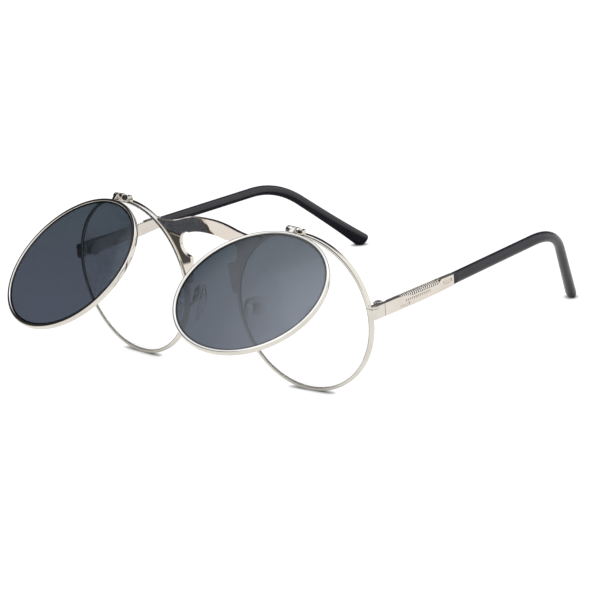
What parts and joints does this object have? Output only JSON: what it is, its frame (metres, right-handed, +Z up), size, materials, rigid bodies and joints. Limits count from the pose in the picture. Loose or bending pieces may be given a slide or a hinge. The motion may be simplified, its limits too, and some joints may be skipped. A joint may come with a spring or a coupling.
{
  "type": "flip up sunglasses",
  "caption": "Round wire spectacles with clear lenses, tinted lenses hinged up over them, a cut metal bridge, nose pads, and folding sides with springs lying in open trays.",
  "frame": {"origin": "On the surface the glasses stand on, under the middle of the bounding box", "axes": "+X towards the wearer's left, -Y forwards, +Z up"},
  "size_m": [0.1305, 0.1777, 0.0548],
  "materials": {
    "silver": "polished",
    "dark_steel": "dark, satin",
    "steel": "bright",
    "clear_lens": "transparent, clear, polished",
    "tinted_lens": "transparent, grey-blue tint, polished",
    "silicone": "clear silicone",
    "black_plastic": "black, glossy"
  },
  "bodies": {
    "front": {"left_rim": "silver", "right_rim": "silver", "left_clear_lens": "clear_lens", "right_clear_lens": "clear_lens", "bridge": "silver", "left_end_piece": "silver", "right_end_piece": "silver", "left_rim_screw": "dark_steel", "right_rim_screw": "dark_steel", "left_pad_arm": "silver", "right_pad_arm": "silver", "left_pad_box": "silver", "right_pad_box": "silver", "left_pad_screw": "steel", "right_pad_screw": "steel", "left_flip_base": "silver", "right_flip_base": "silver", "left_flip_pin": "dark_steel", "right_flip_pin": "dark_steel", "left_side_screw": "steel", "right_side_screw": "steel"},
    "left_flip": {"left_flip_rim": "silver", "left_flip_leaf": "silver", "left_tinted_lens": "tinted_lens"},
    "left_side": {"left_side_bar": "silver", "left_spring": "steel", "left_spring_rod": "dark_steel", "left_side_tip": "black_plastic"},
    "left_pad": {"left_nose_pad": "silicone"},
    "right_flip": {"right_flip_rim": "silver", "right_flip_leaf": "silver", "right_tinted_lens": "tinted_lens"},
    "right_side": {"right_side_bar": "silver", "right_spring": "steel", "right_spring_rod": "dark_steel", "right_side_tip": "black_plastic"},
    "right_pad": {"right_nose_pad": "silicone"}
  },
  "joints": [
    {"name": "left_flip_hinge", "type": "hinge", "parent": "front", "child": "left_flip", "pos_m": [0.03911, -0.04233, 0.05321], "axis": [-0.9936, -0.089, 0.0697], "range_deg": [-62, 33]},
    {"name": "right_flip_hinge", "type": "hinge", "parent": "front", "child": "right_flip", "pos_m": [-0.03911, -0.04233, 0.05321], "axis": [-0.9936, 0.089, -0.0697], "range_deg": [-52, 43]},
    {"name": "left_side_hinge", "type": "hinge", "parent": "front", "child": "left_side", "pos_m": [0.0612, -0.0321, 0.02935], "axis": [0, 0, 1], "range_deg": [0, 83]},
    {"name": "right_side_hinge", "type": "hinge", "parent": "front", "child": "right_side", "pos_m": [-0.0612, -0.0321, 0.02935], "axis": [0, 0, -1], "range_deg": [0, 69]},
    {"name": "left_pad_hinge", "type": "hinge", "parent": "front", "child": "left_pad", "pos_m": [0.01335, -0.03538, 0.02191], "axis": [0.6074, 0.7944, 0], "range_deg": [-8, 8]},
    {"name": "right_pad_hinge", "type": "hinge", "parent": "front", "child": "right_pad", "pos_m": [-0.01335, -0.03538, 0.02191], "axis": [0.6074, -0.7944, 0], "range_deg": [-8, 8]}
  ]
}
